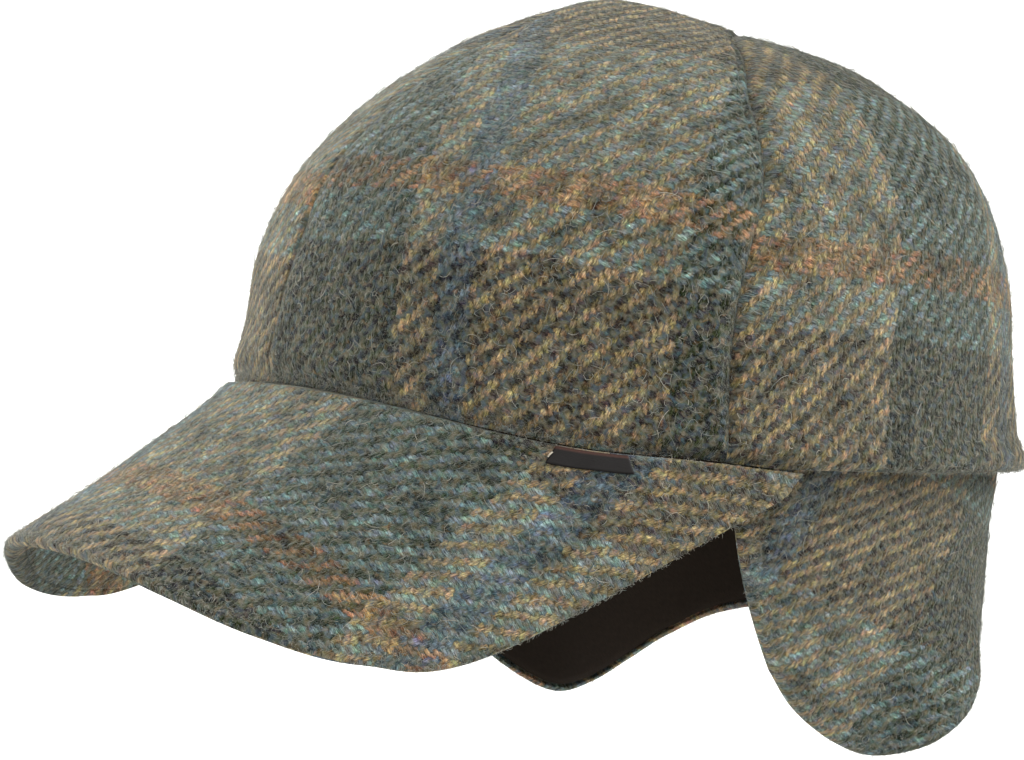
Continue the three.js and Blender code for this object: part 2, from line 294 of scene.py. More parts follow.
def crown_panel(piece, side, hem_from, hem_to, share_from, share_to, shift, middle):
    """Outer and inner face of a panel and their places on the cloth: straight lines of the disk run from
    the hem to the ear-to-ear seam, are lifted onto the crown, then raised by the lip and sunk along seams
    and stitches."""
    u = np.linspace(0, 1, PANEL_STEPS + 1)
    u = u if side > 0 else 1 - u
    angle = side * mix(hem_from, hem_to, u)
    share = side * mix(share_from, share_to, u)
    hem = on_disk(angle, 1 - hem_height(angle) / HEM_SCALE)
    corner = (np.abs(share) > 1 - 1e-9)[:, None]
    hem = np.where(corner, hem + [0, shift], hem)
    seam = np.where(corner, hem, seam_on_disk(share) + [0, shift])
    length = np.linalg.norm(crown_skin(hem) - crown_skin(seam), axis=-1) * PANEL_SLACK
    crowd = np.minimum(1, length / PANEL_CROWD)[:, None]
    low, free, high = panel_knots()
    low = low * crowd
    high = length[:, None] - high * crowd
    between = low[:, -1:] + (high[:, :1] - low[:, -1:]) * free
    from_hem = np.concatenate([low, between, high], 1)
    from_seam = length[:, None] - from_hem
    part = from_hem / np.maximum(length, 1e-6)[:, None]
    disk = hem[:, None] + (seam - hem)[:, None] * part[..., None]
    skin = crown_skin(disk)
    across, up = crown_grain(disk, middle)
    from_middle = np.abs(skin[..., 0])
    fade = smooth(from_hem, *GROOVE["hem"])
    started = smooth(from_hem, *SEAM_CREASE["hem"])
    flat_top = smooth(np.linalg.norm(disk, axis=-1), *GROOVE["top"])
    groove = GROOVE["depth"] * fade * bell(from_seam, GROOVE["reach"])
    groove = groove + SEAM_CREASE["depth"] * started * bell(from_seam, SEAM_CREASE["reach"])
    groove = groove * mix(GROOVE["least"], 1, flat_top)
    groove = groove + MIDDLE_GROOVE["depth"] * fade * bell(from_middle, MIDDLE_GROOVE["reach"])
    groove = groove + MIDDLE_GROOVE["crease"] * started * bell(from_middle, SEAM_CREASE["reach"])
    if shift < 0:
        pressed = flat_top * smooth(from_hem, *TOPSTITCH["hem"])
        away = from_seam - TOPSTITCH["away"]
        groove = groove + TOPSTITCH["depth"] * pressed * bell(away, TOPSTITCH["reach"])
    rolled = smooth(np.abs(angle), LIP["from"], LIP["to"])[:, None]
    lip = LIP["out"] * rolled * np.maximum(0, 1 - ((from_hem - LIP["height"]) / LIP["reach"]) ** 2)
    lip = lip - LIP_STITCH["depth"] * rolled * bell(from_hem - LIP_STITCH["height"], LIP_STITCH["reach"])
    lip = lip - rolled * rounding(from_hem, 2 * LIP_ROUND)
    tuck = TUCK["depth"] * (1 - rolled) * (1 - smooth(from_hem, 0, TUCK["reach"]))
    fold = FOLD["thick"] * (1 - smooth(from_hem, FOLD["top"] - FOLD["step"], FOLD["top"]))
    swell = cloth_swell(across + SWELL["start"] * side, up)
    swell = swell * smooth(from_hem, *SWELL["hem"]) * smooth(from_seam, *SWELL["seam"])
    normal = crown_normal(disk)
    normal[..., 2] *= smooth(from_hem, 0, FOLD["top"])
    normal = unit(normal)
    outer = skin + normal * (lip - groove - tuck + swell)[..., None]
    inner = skin + normal * (swell - TWEED - fold - groove)[..., None]
    turned_up = np.where(from_hem < FOLD["top"], 2 * from_hem + FOLD["thick"], 0)
    return outer, inner, laid(across, up, piece), laid(across, up - turned_up, piece)


def piece_of(name, points, quads, triangles, places, material):
    """Object at the origin from point, four-corner and three-corner arrays, with the places as the UV map
    cloth."""
    mesh = bpy.data.meshes.new(name)
    corners = np.concatenate([quads.ravel(), triangles.ravel()]).astype(np.int32)
    starts = np.concatenate([np.arange(len(quads)) * 4, len(quads) * 4 + np.arange(len(triangles)) * 3])
    mesh.vertices.add(len(points))
    mesh.vertices.foreach_set("co", (points * 0.001).astype(np.float32).ravel())
    mesh.loops.add(len(corners))
    mesh.loops.foreach_set("vertex_index", corners)
    mesh.polygons.add(len(starts))
    mesh.polygons.foreach_set("loop_start", starts.astype(np.int32))
    mesh.polygons.foreach_set("use_smooth", np.ones(len(starts), bool))
    layer = mesh.uv_layers.new(name="cloth")
    layer.data.foreach_set("uv", places[corners].astype(np.float32).ravel())
    mesh.update(calc_edges=True)
    mesh.validate()
    mesh.materials.append(material)
    piece = bpy.data.objects.new(name, mesh)
    bpy.context.scene.collection.objects.link(piece)
    return piece


def cloth_wall(name, outer, inner, outer_cloth, inner_cloth, material):
    """Closed sheet of cloth from two grids of points: both faces and the four strips that join their
    borders."""
    n, m = outer.shape[:2]
    index = np.arange(n * m).reshape(n, m)
    face = np.stack([index[:-1, :-1], index[1:, :-1], index[1:, 1:], index[:-1, 1:]], -1).reshape(-1, 4)
    back = face[:, ::-1] + n * m
    rim = np.concatenate([index[:, 0][::-1], index[0, 1:], index[1:, -1], index[-1, :-1][::-1]])
    rim = np.concatenate([rim, rim[:1]]) if rim[0] != rim[-1] else rim
    strip = np.stack([rim[:-1], rim[1:], rim[1:] + n * m, rim[:-1] + n * m], -1)
    points = np.concatenate([outer.reshape(-1, 3), inner.reshape(-1, 3)])
    places = np.concatenate([outer_cloth.reshape(-1, 2), inner_cloth.reshape(-1, 2)])
    none = np.zeros((0, 3), int)
    piece = piece_of(name, points, np.concatenate([face, back, strip]), none, places, material)
    work = bmesh.new()
    work.from_mesh(piece.data)
    bmesh.ops.remove_doubles(work, verts=work.verts, dist=2e-6)
    bmesh.ops.dissolve_degenerate(work, edges=work.edges, dist=1e-6)
    bmesh.ops.recalc_face_normals(work, faces=work.faces)
    work.to_mesh(piece.data)
    work.free()
    return piece


def colour(code):
    """Linear red, green, blue and alpha of an sRGB hex code."""
    share = np.array([int(code[k:k + 2], 16) for k in (1, 3, 5)]) / 255
    linear = np.where(share <= 0.04045, share / 12.92, ((share + 0.055) / 1.055) ** 2.4)
    return (*linear.tolist(), 1.0)


def bare_material(name):
    """New material and its empty node tree."""
    material = bpy.data.materials.new(name)
    material.use_nodes = True
    material.node_tree.nodes.clear()
    return material, material.node_tree


def add(tree, kind, links=None, out=0, **settings):
    """Adds a node and gives one of its outputs, if it has any. Settings are the node's properties, and
    links are its inputs, each a socket to join or a value to set."""
    node = tree.nodes.new(kind)
    for key, value in settings.items():
        setattr(node, key, value)
    for key, value in (links or {}).items():
        if isinstance(value, bpy.types.NodeSocket):
            tree.links.new(value, node.inputs[key])
        else:
            node.inputs[key].default_value = value
    return node.outputs[out] if len(node.outputs) else None


# Settings of a mix node that blends two colours.
BLEND = {"data_type": "RGBA", "out": 2}


def stripes(ramp, chart, shade):
    """Sets a colour ramp to the chart's stripes, in the dark (0) or light (1) fibres of each yarn."""
    total = sum(count for count, _ in chart)
    ramp.interpolation = "CONSTANT"
    place = 0
    for k, (count, yarn) in enumerate(chart):
        stop = ramp.elements[k] if k < 2 else ramp.elements.new(place / total)
        stop.position = place / total
        stop.color = colour(YARN_SHADES[yarn][shade])
        place += count


def shade_ramp(ramp, codes):
    """Sets a colour ramp to evenly spaced colours."""
    for k, code in enumerate(codes):
        stop = ramp.elements[k] if k < 2 else ramp.elements.new(k / (len(codes) - 1))
        stop.position = k / (len(codes) - 1)
        stop.color = colour(code)


def woollen_tweed():
    """Fulled woollen twill, two over two. It gives the eye slanting ribs of soft tufts, dark weft between
    pale warp, fibres of many colours spun together and felted over, and no shine but a pale bloom where it
    is seen on edge. Its patterns are sized in yarns of 1.42 mm, the unit of the map cloth."""
    material, tree = bare_material("woollen_tweed")
    math, vector = "ShaderNodeMath", "ShaderNodeVectorMath"
    noise, span = "ShaderNodeTexNoise", "ShaderNodeMapRange"
    flat = {"noise_dimensions": "2D"}
    cloth = add(tree, "ShaderNodeUVMap", uv_map="cloth")
    # Yarns wander a little, and fulling has left their edges ragged.
    place = cloth
    for scale, detail, size in ((0.23, 0.0, 1.2), (1.2, 1.0, 0.9), (4.2, 0.0, 0.3)):
        stray = add(tree, noise, {"Vector": cloth, "Scale": scale, "Detail": detail}, out="Color", **flat)
        stray = add(tree, vector, {0: stray, 1: (0.5, 0.5, 0.5)}, operation="SUBTRACT")
        place = add(tree, vector, {0: stray, 1: (size, size, 0), 2: place}, operation="MULTIPLY_ADD")
    # Which yarn, and how round it is across.
    yarn = add(tree, vector, {0: place}, operation="FLOOR")
    off = add(tree, vector, {0: place, 1: yarn}, operation="SUBTRACT")
    off = add(tree, vector, {0: off, 1: (0.5, 0.5, 0)}, operation="SUBTRACT")
    square = add(tree, vector, {0: off, 1: off}, operation="MULTIPLY")
    dome = add(tree, vector, {0: square, 1: (-2.2, -2.2, 0), 2: (0.55, 0.55, 0)}, operation="MULTIPLY_ADD")
    at = add(tree, "ShaderNodeSeparateXYZ", {0: place}).node.outputs
    count = add(tree, "ShaderNodeSeparateXYZ", {0: yarn}).node.outputs
    domed = add(tree, "ShaderNodeSeparateXYZ", {0: dome}).node.outputs
    # Two over, two under: each warp yarn rises one weft yarn later than its neighbour.
    rise = add(tree, math, {0: at[1], 1: count[0]}, operation="SUBTRACT")
    rise = add(tree, math, {0: rise, 1: np.pi / 2, 2: -np.pi / 2}, operation="MULTIPLY_ADD")
    rise = add(tree, math, {0: rise}, operation="COSINE")
    dive = add(tree, math, {0: count[1], 1: at[0]}, operation="SUBTRACT")
    dive = add(tree, math, {0: dive, 1: np.pi / 2}, operation="MULTIPLY")
    dive = add(tree, math, {0: dive}, operation="COSINE")
    warp = add(tree, math, {0: rise, 1: 0.45, 2: domed[0]}, operation="MULTIPLY_ADD")
    weft = add(tree, math, {0: dive, 1: -0.45, 2: domed[1]}, operation="MULTIPLY_ADD")
    above = add(tree, math, {0: warp, 1: weft}, operation="SUBTRACT")
    over = add(tree, span, {
        "Value": above, "From Min": -0.45, "From Max": 0.4, "To Min": 0.12, "To Max": 0.9},
        interpolation_type="SMOOTHSTEP")
    height = add(tree, math, {0: warp, 1: weft, 2: 0.3}, operation="SMOOTH_MAX")
    # Fibres lie along their yarn, slanted by its twist.
    fibres = []
    for turn in (-0.35, 1.2):
        along = add(tree, "ShaderNodeMapping", {
            "Vector": cloth, "Rotation": (0, 0, turn), "Scale": (0.17, 1.2, 1)}, vector_type="TEXTURE")
        strand = add(tree, noise, {
            "Vector": along, "Scale": 1.0, "Detail": 2.0, "Roughness": 0.6, "Distortion": 0.8}, **flat)
        fibres.append(strand)
    fibre = add(tree, "ShaderNodeMix", {0: over, 2: fibres[1], 3: fibres[0]})
    blend = add(tree, span, {"Value": fibre, "From Min": 0.3, "From Max": 0.7})
    # The check, from the charts of warp and weft.
    shades = []
    for axis, chart in enumerate((WARP_CHART, WEFT_CHART)):
        total = sum(number for number, _ in chart)
        turn = add(tree, math, {0: count[axis], 1: 1 / total, 2: 0.5 / total}, operation="MULTIPLY_ADD")
        turn = add(tree, math, {0: turn}, operation="FRACT")
        pair = []
        for shade in (0, 1):
            ramp = add(tree, "ShaderNodeValToRGB", {0: turn})
            stripes(ramp.node.color_ramp, chart, shade)
            pair.append(ramp)
        shades.append(add(tree, "ShaderNodeMix", {0: blend, 6: pair[0], 7: pair[1]}, **BLEND))
    tone = add(tree, "ShaderNodeMix", {0: over, 6: shades[1], 7: shades[0]}, **BLEND)
    # Wool dyed before spinning: fibres of other hues, and small knots of them.
    hue = add(tree, noise, {"Vector": cloth, "Scale": 0.65, "Detail": 0.0}, out="Color", **flat)
    hues = add(tree, vector, {0: hue, 1: (0.34, 0.5, 0.44), 2: (0.83, 0.75, 0.78)}, operation="MULTIPLY_ADD")
    tone = add(tree, vector, {0: tone, 1: hues}, operation="MULTIPLY")
    knot = add(tree, noise, {"Vector": cloth, "Scale": 0.8, "Detail": 0.0}, out="Color", **flat)
    knots = add(tree, "ShaderNodeSeparateXYZ", {0: knot}).node.outputs
    spot = add(tree, span, {"Value": knots[0], "From Min": 0.55, "From Max": 0.72, "To Max": 0.4})
    kind = add(tree, span, {"Value": knots[1], "From Min": 0.28, "From Max": 0.72})
    neps = add(tree, "ShaderNodeValToRGB", {0: kind})
    shade_ramp(neps.node.color_ramp, NEPS)
    tone = add(tree, "ShaderNodeMix", {0: spot, 6: tone, 7: neps}, **BLEND)
    # Tufts differ in depth of dye, and painted shade darkens the low places between them, set by the yarns'
    # height.
    tuft = add(tree, "ShaderNodeTexWhiteNoise", {"Vector": yarn}, noise_dimensions="2D")
    tuft = add(tree, span, {"Value": tuft, "To Min": 0.75, "To Max": 1.25})
    # painted shade: colour darker where the yarns lie low, and a little lighter on their crowns
    painted_gap_shade = add(tree, span, {
        "Value": height, "From Min": 0.1, "From Max": 0.85, "To Min": 0.3, "To Max": 1.25})
    shade = add(tree, math, {0: tuft, 1: painted_gap_shade}, operation="MULTIPLY")
    mottle = add(tree, noise, {"Vector": cloth, "Scale": 0.16, "Detail": 4.0, "Roughness": 0.75}, **flat)
    mottle = add(tree, span, {
        "Value": mottle, "From Min": 0.3, "From Max": 0.7, "To Min": 0.2, "To Max": 1.8})
    strand = add(tree, span, {
        "Value": fibre, "From Min": 0.25, "From Max": 0.75, "To Min": 0.65, "To Max": 1.35})
    shade = add(tree, math, {0: shade, 1: mottle}, operation="MULTIPLY")
    shade = add(tree, math, {0: shade, 1: strand}, operation="MULTIPLY")
    tone = add(tree, vector, {0: tone, "Scale": shade}, operation="SCALE")
    # Felted fibres: thin pale lines that wind over the yarns.
    veil = None
    for scale, start, width in ((0.8, 7.3, 0.05), (1.7, 31.7, 0.07)):
        spread = add(tree, vector, {0: cloth, 1: (start, start * 0.6, 0)}, operation="ADD")
        wind = add(tree, noise, {"Vector": spread, "Scale": scale, "Detail": 1.0}, out="Color", **flat)
        wind = add(tree, "ShaderNodeSeparateXYZ", {0: wind}).node.outputs
        line = add(tree, math, {0: wind[0], 1: 0.5}, operation="SUBTRACT")
        line = add(tree, math, {0: line}, operation="ABSOLUTE")
        line = add(tree, span, {"Value": line, "From Min": width, "From Max": 0.0})
        gate = add(tree, span, {"Value": wind[1], "From Min": 0.42, "From Max": 0.58, "To Max": 0.4})
        line = add(tree, math, {0: line, 1: gate}, operation="MULTIPLY")
        veil = line if veil is None else add(tree, math, {0: line, 1: veil}, operation="MAXIMUM")
    felt = add(tree, "ShaderNodeValToRGB", {0: kind})
    shade_ramp(felt.node.color_ramp, FELT)
    tone = add(tree, "ShaderNodeMix", {0: veil, 6: tone, 7: felt}, **BLEND)
    # Matted tufts: small pale patches where the felt is thickest.
    matted = add(tree, noise, {"Vector": cloth, "Scale": 0.7, "Detail": 1.0, "Roughness": 0.5}, **flat)
    matted = add(tree, span, {"Value": matted, "From Min": 0.45, "From Max": 0.65, "To Max": 0.55})
    tone = add(tree, "ShaderNodeMix", {0: matted, 6: tone, 7: felt}, blend_type="LIGHTEN", **BLEND)
    relief = add(tree, math, {0: fibre, 1: 0.8, 2: height}, operation="MULTIPLY_ADD")
    bump = add(tree, "ShaderNodeBump", {"Height": relief, "Strength": 1.0, "Distance": 0.0008})
    cloth_look = add(tree, "ShaderNodeBsdfPrincipled", {
        "Base Color": tone, "Roughness": 0.95, "Specular IOR Level": 0.08, "Sheen Weight": 0.55,
        "Sheen Roughness": 0.12, "Sheen Tint": colour("#D9DCCE"), "Normal": bump})
    add(tree, "ShaderNodeOutputMaterial", {0: cloth_look})
    return material


def loose_wool():
    """Single wool fibres that have worked out of the cloth, undyed or in any of the yarns' colours. They
    give the eye pale curls over the darker tweed."""
    material, tree = bare_material("loose_wool_fibres")
    root = add(tree, "ShaderNodeUVMap", uv_map="cloth")
    pick = add(tree, "ShaderNodeTexWhiteNoise", {"Vector": root}, noise_dimensions="2D")
    tone = add(tree, "ShaderNodeValToRGB", {0: pick})
    shade_ramp(tone.node.color_ramp, FIBRES)
    look = add(tree, "ShaderNodeBsdfPrincipled", {
        "Base Color": tone, "Roughness": 0.8, "Specular IOR Level": 0.2})
    add(tree, "ShaderNodeOutputMaterial", {0: look})
    return material


def wool_fibres(name, face, cloth, count, seed, sizes, material):
    """Loose fibres on a face: each starts at a random place, bends as it runs over the cloth, lifts off it
    and ends thin. Its length is at most the edge length and half its way to the border. A fibre is a
    three-sided tube of a few rings, and takes its place on the cloth from its root."""
    draw = np.random.default_rng(seed)
    diagonal = face[1:, 1:] - face[:-1, :-1]
    other = face[:-1, 1:] - face[1:, :-1]
    area = np.linalg.norm(np.cross(diagonal, other), axis=-1)
    cell = draw.choice(area.size, count, p=area.ravel() / area.sum())
    i, j = np.unravel_index(cell, area.shape)
    x, y = draw.random((2, count, 1))

    def between(grid):
        near = mix(grid[i, j], grid[i + 1, j], x)
        return mix(near, mix(grid[i, j + 1], grid[i + 1, j + 1], x), y)

    root = between(face)
    along = unit(face[i + 1, j] - face[i, j] + 1e-6)
    normal = unit(np.cross(diagonal[i, j], other[i, j]))
    normal = normal * np.where((normal * (root - HEART)).sum(1) < 0, -1, 1)[:, None]
    side = np.cross(normal, along)
    rings = np.linspace(0, 1, sizes["rings"])
    length = mix(*sizes["length"], draw.random(count) ** 2)
    rim = np.concatenate([face[0], face[-1], face[:, 0], face[:, -1]])
    away = np.linalg.norm(root[:, None] - rim, axis=-1).min(1)
    length = np.minimum(length, sizes["edge"] + 0.5 * away)
    heading = draw.uniform(0, 2 * np.pi, count)[:, None]
    heading = heading + draw.normal(0, sizes["curl"], count)[:, None] * rings
    step = (length / (len(rings) - 1))[:, None]
    run = np.concatenate([np.zeros((count, 1)), np.cumsum(step * np.cos(heading[:, 1:]), 1)], 1)
    sway = np.concatenate([np.zeros((count, 1)), np.cumsum(step * np.sin(heading[:, 1:]), 1)], 1)
    lift = mix(*sizes["lift"], draw.random(count))[:, None] * (1 - (1 - rings) ** 2) - FIBRE_SINK
    path = root[:, None] + run[..., None] * along[:, None] + sway[..., None] * side[:, None]
    path = path + lift[..., None] * normal[:, None]
    forward = unit(np.gradient(path, axis=1))
    cross = unit(np.cross(forward, normal[:, None]))
    rise = np.cross(cross, forward)
    thick = mix(*sizes["radius"], draw.random(count))[:, None] * np.interp(rings, *FIBRE_TAPER)
    turn = np.arange(3) * 2 * np.pi / 3
    ring = np.cos(turn)[:, None] * cross[:, :, None] + np.sin(turn)[:, None] * rise[:, :, None]
    points = (path[:, :, None] + thick[:, :, None, None] * ring).reshape(-1, 3)
    index = np.arange(count * len(rings) * 3).reshape(count, -1, 3)
    after = np.roll(index, -1, 2)
    quads = np.stack([index[:, :-1], after[:, :-1], after[:, 1:], index[:, 1:]], -1).reshape(-1, 4)
    caps = np.concatenate([index[:, 0, ::-1], index[:, -1]])
    return piece_of(name, points, quads, caps, np.repeat(between(cloth), len(rings) * 3, 0), material)


# Fibres: a point inside the cap that they stand away from, how deep they are rooted, and how their radius
# changes along them. The nap lies all over a face, and the fuzz stands along its edges.
HEART = np.array([0, 0, 20])
FIBRE_SINK = 0.15
FIBRE_TAPER = ([0, 0.2, 0.6, 1], [0.8, 1, 1, 0.3])
NAP = {
    "rings": 6, "length": (1.6, 6.0), "edge": 0.8, "lift": (0.1, 0.8), "curl": 2.8, "radius": (0.04, 0.075),
}
NAP_COUNT = 2900
FUZZ = {
    "rings": 4, "length": (0.7, 2.0), "edge": 0.9, "lift": (0.2, 0.9), "curl": 1.6, "radius": (0.03, 0.055),
}
HEM_FUZZ = {"rows": 6, "count": 1200, "seed": 21}
NAP_SEEDS = {"crown": 1, "visor": 11, "earflap": 12}

tweed = woollen_tweed()
wool = loose_wool()
for seed, (node, cut) in enumerate(PANELS.items()):
    outer, inner, cloth, inner_cloth = crown_panel(node, *cut)
    panel = cloth_wall(node + "_cloth", outer, inner, cloth, inner_cloth, tweed)
    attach(panel, "root")
    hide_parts(node)
    rows = HEM_FUZZ["rows"]
    hem = (outer[:, :rows], cloth[:, :rows])
    fuzz = wool_fibres(node + "_fuzz", *hem, HEM_FUZZ["count"], seed + HEM_FUZZ["seed"], FUZZ, wool)
    nap = wool_fibres(node + "_nap", outer, cloth, NAP_COUNT, seed + NAP_SEEDS["crown"], NAP, wool)
    for hair in (nap, fuzz):
        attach(hair, "root")


# Visor: a stiff arched peak covered in the same tweed. The upper cover rolls round the outer edge in a
# thick soft rim and turns in underneath, where the under cover meets it, and both are sewn to the crown's
# hem at the root.
FAR_BEND = np.array([
    # up and back, at even shares from the middle to the wing on the wearer's right
    [0, 0],
    [0.3, 0.4],
    [0.6, 1],
    [0.6, 1.6],
    [0, 1.8],
    [0.3, 1.2],
    [1.6, 0.5],
    [3.2, 0.1],
    [6.2, 0],
    [3.5, 0],
    [0, 0],
])
# The hollow of its slope as a share, the thickness of the whole and of one cover, and the width turned in.
VISOR_DIP = 0.025
VISOR_THICK = 4.1
VISOR_COVER = 1.9
VISOR_RIM = 5.0
# The shoulder behind the rim, the cloth at the seam and hidden under the hem, the thin wing ends, the slack.
VISOR_SHOULDER = {"fall": 0.8, "reach": 5.0, "edge": (0, 2)}
VISOR_SEAM = {"rise": 0.3, "reach": 3.0, "under": 3.8}
VISOR_TAPER = {"end": 0.3, "share": 0.12}
VISOR_SWELL = {"share": 0.5, "edge": (3, 14)}
# Gaps between the two covers, through the visor and along it, and where the under cover stops sideways.
CLEAR = 0.3
JOIN = 0.1
UNDER_END = 0.97
# Steps of the grids, and knots in millimetres from the outer edge, drawn together on shorter lines.
VISOR_STEPS = 140
ROOT_STEPS = {"top": 32, "under": 30}
EDGE_KNOTS = np.array([0, 0.1, 0.3, 0.6, 1, 1.5, 2.1, 3, 4, 5, 5.05])
UNDER_KNOTS = VISOR_RIM + JOIN + np.array([0, 1])
VISOR_CROWD = 9
VISOR_SLOPE = unit(np.array([0, -55, -36.8]))
ARCH_HEART = 10
RIM_FUZZ = {"rows": 9, "count": 2600, "seed": 31}


def visor_skin(share, reach):
    """Straight lines from the seam under the hem to the outer edge, hollowed in the middle by a share of
    their length. The wearer's right half has been bent by wear."""
    row = visor_row(share)
    root = crown_skin(on_disk(share * VISOR_ANGLE, 1 - row[..., 0] / HEM_SCALE))
    edge = np.stack([np.where(share < 0, -1, 1) * row[..., 1], row[..., 2], row[..., 3]], -1)
    length = np.linalg.norm(edge - root, axis=-1)
    place = mix(root, edge, reach[..., None])
    bend = blend_rows(FAR_BEND, np.clip(-share, 0, 1) * (len(FAR_BEND) - 1), FAR_BEND[1], FAR_BEND[-2])
    bend = bend * reach[..., None] ** 2
    place[..., 1] += bend[..., 1]
    place[..., 2] += bend[..., 0] - VISOR_DIP * length * 4 * reach * (1 - reach)
    return place


def visor_through(share, reach):
    """Direction through the visor from its upper face, the cross product of two small steps."""
    step = 1e-3
    a = np.clip(share, step - 1, 1 - step)
    b = np.clip(reach, step, 1 - step)
    across = visor_skin(a + step, b) - visor_skin(a - step, b)
    along = visor_skin(a, b + step) - visor_skin(a, b - step)
    return unit(np.cross(across, along))


def visor_taper(share):
    """Share of the full thickness left towards the wing ends."""
    return mix(VISOR_TAPER["end"], 1, smooth(1 - np.abs(share), 0, VISOR_TAPER["share"]))


def visor_grid(from_edge, free_steps, end):
    """Share and reach of the visor's grid points, and their distances from the outer edge: knots near the
    edge, then even steps to the root, drawn together where the visor is short."""
    share = np.linspace(end, -end, VISOR_STEPS + 1)
    ends = np.stack([share, share], -1)
    length = visor_skin(ends, np.broadcast_to([0.0, 1.0], ends.shape))
    length = np.linalg.norm(length[:, 1] - length[:, 0], axis=-1)
    near = from_edge * np.minimum(1, length / VISOR_CROWD)[:, None]
    rest = mix(near[:, -1:], length[:, None], np.linspace(0, 1, free_steps + 1)[1:])
    away = np.concatenate([near, rest], 1)[:, ::-1]
    return np.repeat(share[:, None], away.shape[1], 1), 1 - away / length[:, None], away


def visor_grain(skin):
    """Arc across the arch, seen down its slope, from the middle to each point's bearing, and length up the
    slope."""
    rise = skin @ np.cross(VISOR_SLOPE, [1, 0, 0])
    bearing = np.arctan2(skin[..., 0], rise - ARCH_HEART)
    middle = skin.shape[1] // 2
    line = np.stack([skin[:, middle, 0], rise[:, middle]], -1)
    arc = walked(line)
    across = np.interp(-bearing, -bearing[:, middle], arc[len(arc) // 2] - arc)
    return across, -(skin @ VISOR_SLOPE)


share, reach, away = visor_grid(EDGE_KNOTS, ROOT_STEPS["top"], 1)
skin = visor_skin(share, reach)
through = visor_through(share, reach)
across, up = visor_grain(skin)
swell = VISOR_SWELL["share"] * cloth_swell(across, up) * smooth(away, *VISOR_SWELL["edge"])
taper = visor_taper(share)
turned = rounding(away, VISOR_THICK * taper)
# The part turned in underneath ends between the last two knots.
depth = np.where(away < VISOR_RIM + JOIN / 4, VISOR_THICK * taper - turned, VISOR_COVER * taper)
shoulder = VISOR_SHOULDER["fall"] * bell(away, VISOR_SHOULDER["reach"])
shoulder = shoulder * taper * smooth(away, *VISOR_SHOULDER["edge"])
from_root = np.linalg.norm(skin - skin[:, :1], axis=-1)
seam = VISOR_SEAM["rise"] * bell(from_root, VISOR_SEAM["reach"])
upper = skin + through * (turned + shoulder - swell - seam)[..., None]
lower = skin + through * depth[..., None]
# The root runs on under the hem.
inwards = crown_normal(on_disk(share[:, :1] * VISOR_ANGLE, np.ones_like(share[:, :1]))) * [-1, -1, 0]
upper = np.concatenate([upper[:, :1] + VISOR_SEAM["under"] * inwards, upper], 1)
lower = np.concatenate([lower[:, :1] + VISOR_SEAM["under"] * inwards, lower], 1)
across = np.concatenate([across[:, :1], across], 1)
up = np.concatenate([up[:, :1] + VISOR_SEAM["under"], up], 1)
cloth = laid(across, up, "visor_top")
# Both faces share their place on the cloth at the wing ends.
under = laid(across, up, "visor_under")
under[[0, -1]] = cloth[[0, -1]]
visor_top = cloth_wall("visor_top_cloth", upper, lower, cloth, under, tweed)
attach(visor_top, "root")
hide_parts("visor_top")
nap = wool_fibres("visor_nap", upper, cloth, NAP_COUNT, NAP_SEEDS["visor"], NAP, wool)
rows = RIM_FUZZ["rows"]
rim = (upper[:, -rows:], cloth[:, -rows:])
fuzz = wool_fibres("visor_fuzz", *rim, RIM_FUZZ["count"], RIM_FUZZ["seed"], FUZZ, wool)
for hair in (nap, fuzz):
    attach(hair, "root")

share, reach, away = visor_grid(UNDER_KNOTS, ROOT_STEPS["under"], UNDER_END)
skin = visor_skin(share, reach)
through = visor_through(share, reach)
across, up = visor_grain(skin)
taper = visor_taper(share)[..., None]
upper = skin + through * taper * (VISOR_COVER + CLEAR)
lower = skin + through * taper * VISOR_THICK
cloth = laid(across, up, "visor_under")
visor_under = cloth_wall("visor_under_cloth", upper, lower, cloth, cloth, tweed)
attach(visor_under, "root")
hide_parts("visor_under")


# Earflap: one band of tweed from temple to temple round the nape, sewn inside the hem, cut on a slant and
# deepest over the ears. Its low edge and front edges are turned over a dark lining as a narrow soft rim.
FLAP_ROWS = np.array([
    # angle of the top and of the low end, depth, outward flare, from the front edge to the nape
    [1.39, 1.56, 47, -2],
    [1.52, 1.65, 56.5, -2.5],
    [1.67, 1.78, 64, -1.5],
    [1.83, 1.89, 67, 2],
    [1.98, 2, 64.5, 8.5],
    [2.1, 2.1, 58.5, 11.5],
    [2.22, 2.2, 51.5, 9.5],
    [2.37, 2.36, 44, 3],
    [2.64, 2.64, 40, 0],
    [np.pi, np.pi, 39, 0],
])
# Top edge inside the hem, lean inwards, swelling under the hem, backward sweep and flare of the lobe.
FLAP_TOP = 9
FLAP_LEAN = 0.07
FLAP_BELLY = {"out": 0.6, "reach": 14}
FLAP_SWEEP = 2.2
FLARE_POWER = 1.6
# Thickness of the turned edge and how far it covers the inside, the slack of the band, and its steps.
FLAP_THICK = 3.95
FLAP_RIM = 1.6
FLAP_SWELL = {"share": 1.2, "border": (2, 12), "hem": (2, 14)}
FLAP_STEPS = {"round": 190, "down": 54, "arc": 400}
FLAP_EASE = {"both": 0.75, "high": 0.85}
# Rows of the grid that carry fuzz, then its count and its seed on each edge.
FLAP_FUZZ = {"rows": 12, "low": (2200, 32), "right": (500, 33), "left": (500, 34)}
# The lining's thickness, how far it stays inside the band, its steps, and its rounded border.
LINING = 1.3
LINING_INSET = {"low": 2.1, "front": 0.0125, "top": 1}
LINING_STEPS = {"round": 160, "down": 40}
LINING_PUFF = {"out": 0.5, "reach": 2.5}


def flap_row(share):
    """Row of the earflap table at a share from the front edge (0) to the nape (1)."""
    back = FLAP_ROWS[-2]
    past = np.array([2 * np.pi - back[0], 2 * np.pi - back[1], back[2], back[3]])
    return blend_rows(FLAP_ROWS, share * (len(FLAP_ROWS) - 1), 2 * FLAP_ROWS[0] - FLAP_ROWS[1], past)


